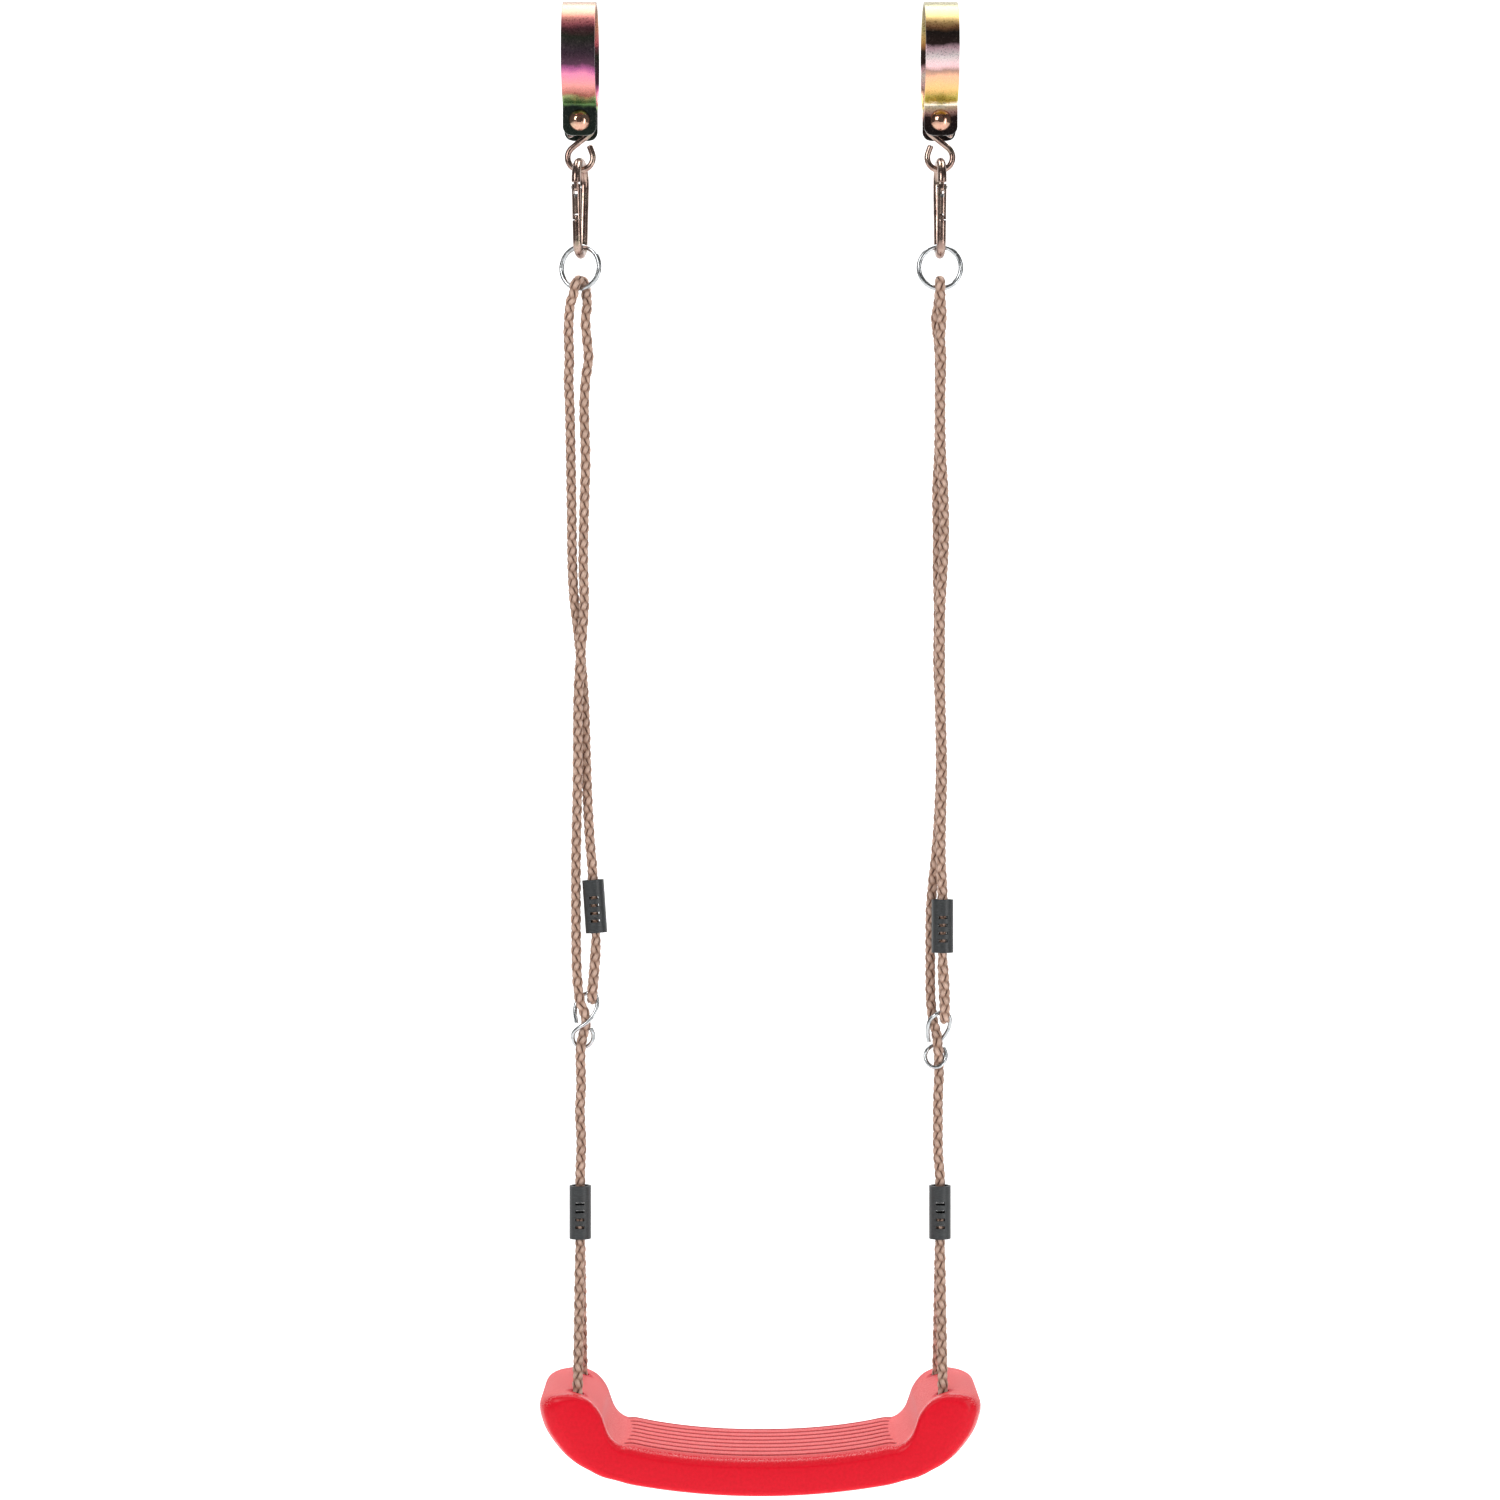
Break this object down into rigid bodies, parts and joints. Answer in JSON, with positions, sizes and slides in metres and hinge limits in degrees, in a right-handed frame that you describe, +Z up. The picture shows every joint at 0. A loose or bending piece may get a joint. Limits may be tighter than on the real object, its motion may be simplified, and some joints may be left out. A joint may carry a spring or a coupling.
{
  "type": "swing seat",
  "caption": "Rope swing with a moulded saddle seat, adjustable ropes, rings, snap hooks, S-hooks and strap clamps for a round beam.",
  "frame": {"origin": "on the axis of the round beam, midway between the two hanging lines", "axes": "+X along the beam, +Y to the rear of the swing, +Z up"},
  "size_m": [0.43, 0.16, 1.4625],
  "materials": {
    "strap_zinc": "iridescent yellow zinc plating",
    "yellow_zinc": "yellow zinc plating",
    "bright_zinc": "bright zinc plating",
    "rope": "plaited polypropylene",
    "sleeve_plastic": "satin black moulding",
    "seat_plastic": "red moulded plastic, pebbled top"
  },
  "bodies": {
    "hangers": {"left_strap": "strap_zinc", "left_bolt": "yellow_zinc", "left_washer": "yellow_zinc", "left_nut": "yellow_zinc", "left_spacer_tube": "bright_zinc", "right_strap": "strap_zinc", "right_bolt": "yellow_zinc", "right_washer": "yellow_zinc", "right_nut": "yellow_zinc", "right_spacer_tube": "bright_zinc"},
    "left_hook": {"left_s_hook": "yellow_zinc"},
    "right_hook": {"right_s_hook": "yellow_zinc"},
    "left_snap_hook": {"left_snap_hook_body": "yellow_zinc", "left_gate_pin": "yellow_zinc"},
    "right_snap_hook": {"right_snap_hook_body": "yellow_zinc", "right_gate_pin": "yellow_zinc"},
    "left_gate": {"left_snap_gate": "yellow_zinc", "left_gate_spring": "bright_zinc"},
    "right_gate": {"right_snap_gate": "yellow_zinc", "right_gate_spring": "bright_zinc"},
    "left_ring_link": {"left_ring": "bright_zinc"},
    "right_ring_link": {"right_ring": "bright_zinc"},
    "left_line": {"left_rope": "rope", "left_upper_sleeve": "sleeve_plastic", "left_length_clip": "bright_zinc"},
    "right_line": {"right_rope": "rope", "right_upper_sleeve": "sleeve_plastic", "right_length_clip": "bright_zinc"},
    "left_sleeve": {"left_lower_sleeve": "sleeve_plastic"},
    "right_sleeve": {"right_lower_sleeve": "sleeve_plastic"},
    "seat_group": {"seat": "seat_plastic", "left_seat_loop": "rope"},
    "right_loop": {"right_seat_loop": "rope"}
  },
  "joints": [
    {"name": "left_hook_swing", "type": "hinge", "parent": "hangers", "child": "left_hook", "pos_m": [-0.178, 0, -0.0557], "axis": [1, 0, 0], "range_deg": [-20, 20]},
    {"name": "left_snap_hook_swing", "type": "hinge", "parent": "left_hook", "child": "left_snap_hook", "pos_m": [-0.178, 0, -0.1126], "axis": [1, 0, 0], "range_deg": [-30, 30]},
    {"name": "left_gate_open", "type": "hinge", "parent": "left_snap_hook", "child": "left_gate", "pos_m": [-0.1811, -0.01954, -0.13262], "axis": [0.9877, -0.1564, 0], "range_deg": [0, 24], "stiffness_Nm_per_rad": 0.1, "springref_deg": -11.46},
    {"name": "left_ring_swing", "type": "hinge", "parent": "left_snap_hook", "child": "left_ring_link", "pos_m": [-0.178, 0, -0.1883], "axis": [1, 0, 0], "range_deg": [-20, 20]},
    {"name": "left_rope_sway", "type": "hinge", "parent": "left_ring_link", "child": "left_line", "pos_m": [-0.178, 0, -0.20905], "axis": [0, 1, 0], "range_deg": [-6, 6]},
    {"name": "left_sleeve_level", "type": "hinge", "parent": "left_line", "child": "left_sleeve", "pos_m": [-0.178, 0, -1.1175], "axis": [0, 1, 0], "range_deg": [-6, 6]},
    {"name": "right_hook_swing", "type": "hinge", "parent": "hangers", "child": "right_hook", "pos_m": [0.178, 0, -0.0557], "axis": [1, 0, 0], "range_deg": [-20, 20]},
    {"name": "right_snap_hook_swing", "type": "hinge", "parent": "right_hook", "child": "right_snap_hook", "pos_m": [0.178, 0, -0.1126], "axis": [1, 0, 0], "range_deg": [-30, 30]},
    {"name": "right_gate_open", "type": "hinge", "parent": "right_snap_hook", "child": "right_gate", "pos_m": [0.17904, -0.01976, -0.13262], "axis": [0.9986, 0.0523, 0], "range_deg": [0, 24], "stiffness_Nm_per_rad": 0.1, "springref_deg": -11.46},
    {"name": "right_ring_swing", "type": "hinge", "parent": "right_snap_hook", "child": "right_ring_link", "pos_m": [0.178, 0, -0.1883], "axis": [1, 0, 0], "range_deg": [-20, 20]},
    {"name": "right_rope_sway", "type": "hinge", "parent": "right_ring_link", "child": "right_line", "pos_m": [0.178, 0, -0.20905], "axis": [0, 1, 0], "range_deg": [-6, 6]},
    {"name": "right_sleeve_level", "type": "hinge", "parent": "right_line", "child": "right_sleeve", "pos_m": [0.178, 0, -1.1175], "axis": [0, 1, 0], "range_deg": [-6, 6]},
    {"name": "seat_tilt", "type": "hinge", "parent": "left_sleeve", "child": "seat_group", "pos_m": [-0.178, 0, -1.17], "axis": [1, 0, 0], "range_deg": [-15, 15]},
    {"name": "right_loop_tilt", "type": "hinge", "parent": "right_sleeve", "child": "right_loop", "pos_m": [0.178, 0, -1.17], "axis": [1, 0, 0], "range_deg": [-15, 15]}
  ],
  "couplings": [
    {"joint": "right_hook_swing", "follows": "left_hook_swing", "ratio": 1},
    {"joint": "right_snap_hook_swing", "follows": "left_snap_hook_swing", "ratio": 1},
    {"joint": "right_ring_swing", "follows": "left_ring_swing", "ratio": 1},
    {"joint": "right_rope_sway", "follows": "left_rope_sway", "ratio": 1},
    {"joint": "left_sleeve_level", "follows": "left_rope_sway", "ratio": -1},
    {"joint": "right_sleeve_level", "follows": "left_rope_sway", "ratio": -1},
    {"joint": "right_loop_tilt", "follows": "seat_tilt", "ratio": 1}
  ]
}
